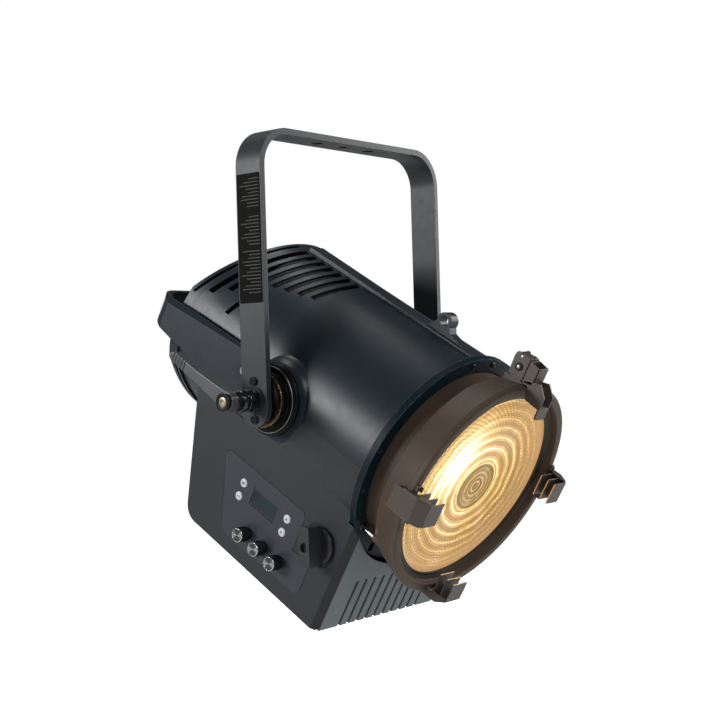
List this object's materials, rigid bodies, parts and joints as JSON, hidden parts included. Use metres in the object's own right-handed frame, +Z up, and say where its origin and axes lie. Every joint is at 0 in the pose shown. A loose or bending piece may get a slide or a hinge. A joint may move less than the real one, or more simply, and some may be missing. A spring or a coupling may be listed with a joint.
{
  "type": "fresnel spotlight",
  "caption": "Studio LED fresnel spotlight with a flat-bar yoke, a tilting head with a control box, a zooming lens carriage and clips for accessory frames.",
  "frame": {"origin": "centre of the yoke's middle hole, on the crossbar's top face", "axes": "+Z up out of the crossbar's top face, along the middle hole; the lens looks towards -Y and, at rest, 30.5 degrees down; +X to the side without the lever"},
  "size_m": [0.347, 0.4335, 0.5052],
  "materials": {
    "body_paint": "satin",
    "shell_paint": "satin",
    "flange_paint": "satin",
    "ring_paint": "satin",
    "clip_paint": "satin",
    "boss_black": "satin",
    "hub_black": "gloss",
    "lever_metal": "satin",
    "screw_steel": "satin",
    "brass_ring": "satin",
    "sheet_steel": "satin",
    "rod_chrome": "polished",
    "label_film": "satin",
    "panel_black": "satin",
    "display_glass": "gloss",
    "circuit_board": "matte",
    "button_grey": "satin",
    "knob_black": "matte",
    "grip_knob": "satin",
    "lens_glass": "polished",
    "retainer_black": "satin",
    "led_phosphor": "matte",
    "reflector": "polished",
    "fin_aluminium": "matte",
    "fan_plastic": "matte",
    "inlet_blue": "satin",
    "connector_metal": "satin",
    "fuse_black": "matte"
  },
  "bodies": {
    "yoke": {"yoke_bracket": "body_paint", "rating_label": "label_film", "friction_plates": "boss_black", "brass_washers": "brass_ring", "plate_screws": "screw_steel", "hub_washers": "body_paint"},
    "tilt_lock": {"lock_hub": "hub_black", "lock_lever": "lever_metal", "lock_screw": "screw_steel"},
    "head": {"side_bosses": "boss_black", "pivot_studs": "screw_steel", "pivot_nut": "boss_black", "chassis_band": "sheet_steel", "top_shell": "shell_paint", "lower_housing": "shell_paint", "rear_cover": "shell_paint", "front_flange": "flange_paint", "flange_screws": "screw_steel", "guide_bushes": "brass_ring", "front_panel": "shell_paint", "bottom_plate": "shell_paint", "rear_handle": "shell_paint", "handle_screws": "screw_steel", "control_panel": "panel_black", "display_window": "display_glass", "display_module": "circuit_board", "control_board": "circuit_board", "encoder_bodies": "sheet_steel", "zoom_bearings": "brass_ring", "led_module": "led_phosphor", "light_cup": "reflector", "heat_sink": "fin_aluminium", "fan_frame": "fan_plastic", "power_supply": "fin_aluminium", "power_connectors": "inlet_blue", "data_connectors": "connector_metal", "fuse_holder": "fuse_black"},
    "lens_carriage": {"lens_tube": "ring_paint", "accessory_ring": "ring_paint", "fresnel_lens": "lens_glass", "lens_retainer": "retainer_black", "guide_rods": "rod_chrome", "zoom_rack": "sheet_steel", "clip_left": "clip_paint", "clip_right": "clip_paint", "clip_bottom": "clip_paint", "latch_bracket": "clip_paint", "latch_pin": "screw_steel"},
    "latch": {"top_latch": "clip_paint"},
    "zoom_control": {"zoom_knob": "grip_knob", "zoom_shaft": "sheet_steel"},
    "fan": {"fan_rotor": "fan_plastic"},
    "push_button_1": {"button_1": "button_grey"},
    "push_button_2": {"button_2": "button_grey"},
    "push_button_3": {"button_3": "button_grey"},
    "push_button_4": {"button_4": "button_grey"},
    "dial_1": {"encoder_knob_1": "knob_black"},
    "dial_2": {"encoder_knob_2": "knob_black"},
    "dial_3": {"encoder_knob_3": "knob_black"}
  },
  "joints": [
    {"name": "head_tilt", "type": "hinge", "parent": "yoke", "child": "head", "pos_m": [0, 0, -0.271], "axis": [1, 0, 0], "range_deg": [-75, 60]},
    {"name": "tilt_lock_turn", "type": "hinge", "parent": "yoke", "child": "tilt_lock", "pos_m": [-0.165, 0, -0.271], "axis": [1, 0, 0], "range_deg": [-70, 70]},
    {"name": "lens_slide", "type": "slide", "parent": "head", "child": "lens_carriage", "axis": [0, -0.8616, -0.5075], "range_m": [-0.016, 0.03]},
    {"name": "zoom_knob_turn", "type": "hinge", "parent": "head", "child": "zoom_control", "pos_m": [-0.1, -0.03885, -0.41725], "axis": [1, 0, 0], "range_deg": [-102.5, 191.5]},
    {"name": "latch_hinge", "type": "hinge", "parent": "lens_carriage", "child": "latch", "pos_m": [0, -0.22146, -0.24477], "axis": [1, 0, 0], "range_deg": [-110, 0]},
    {"name": "button_press_1", "type": "slide", "parent": "head", "child": "push_button_1", "axis": [1, 0, 0], "range_m": [0, 0.001], "stiffness_N_per_m": 400},
    {"name": "button_press_2", "type": "slide", "parent": "head", "child": "push_button_2", "axis": [1, 0, 0], "range_m": [0, 0.001], "stiffness_N_per_m": 400},
    {"name": "button_press_3", "type": "slide", "parent": "head", "child": "push_button_3", "axis": [1, 0, 0], "range_m": [0, 0.001], "stiffness_N_per_m": 400},
    {"name": "button_press_4", "type": "slide", "parent": "head", "child": "push_button_4", "axis": [1, 0, 0], "range_m": [0, 0.001], "stiffness_N_per_m": 400},
    {"name": "dial_turn_1", "type": "hinge", "parent": "head", "child": "dial_1", "pos_m": [-0.105, 0.0623, -0.41222], "axis": [1, 0, 0], "continuous": true},
    {"name": "dial_turn_2", "type": "hinge", "parent": "head", "child": "dial_2", "pos_m": [-0.105, 0.04007, -0.42532], "axis": [1, 0, 0], "continuous": true},
    {"name": "dial_turn_3", "type": "hinge", "parent": "head", "child": "dial_3", "pos_m": [-0.105, 0.01784, -0.43841], "axis": [1, 0, 0], "continuous": true},
    {"name": "fan_spin", "type": "hinge", "parent": "head", "child": "fan", "pos_m": [0, 0.12521, -0.19492], "axis": [0, 0.8616, 0.5075], "continuous": true}
  ],
  "couplings": [
    {"joint": "zoom_knob_turn", "follows": "lens_slide", "rad_per_m": 111.11}
  ]
}
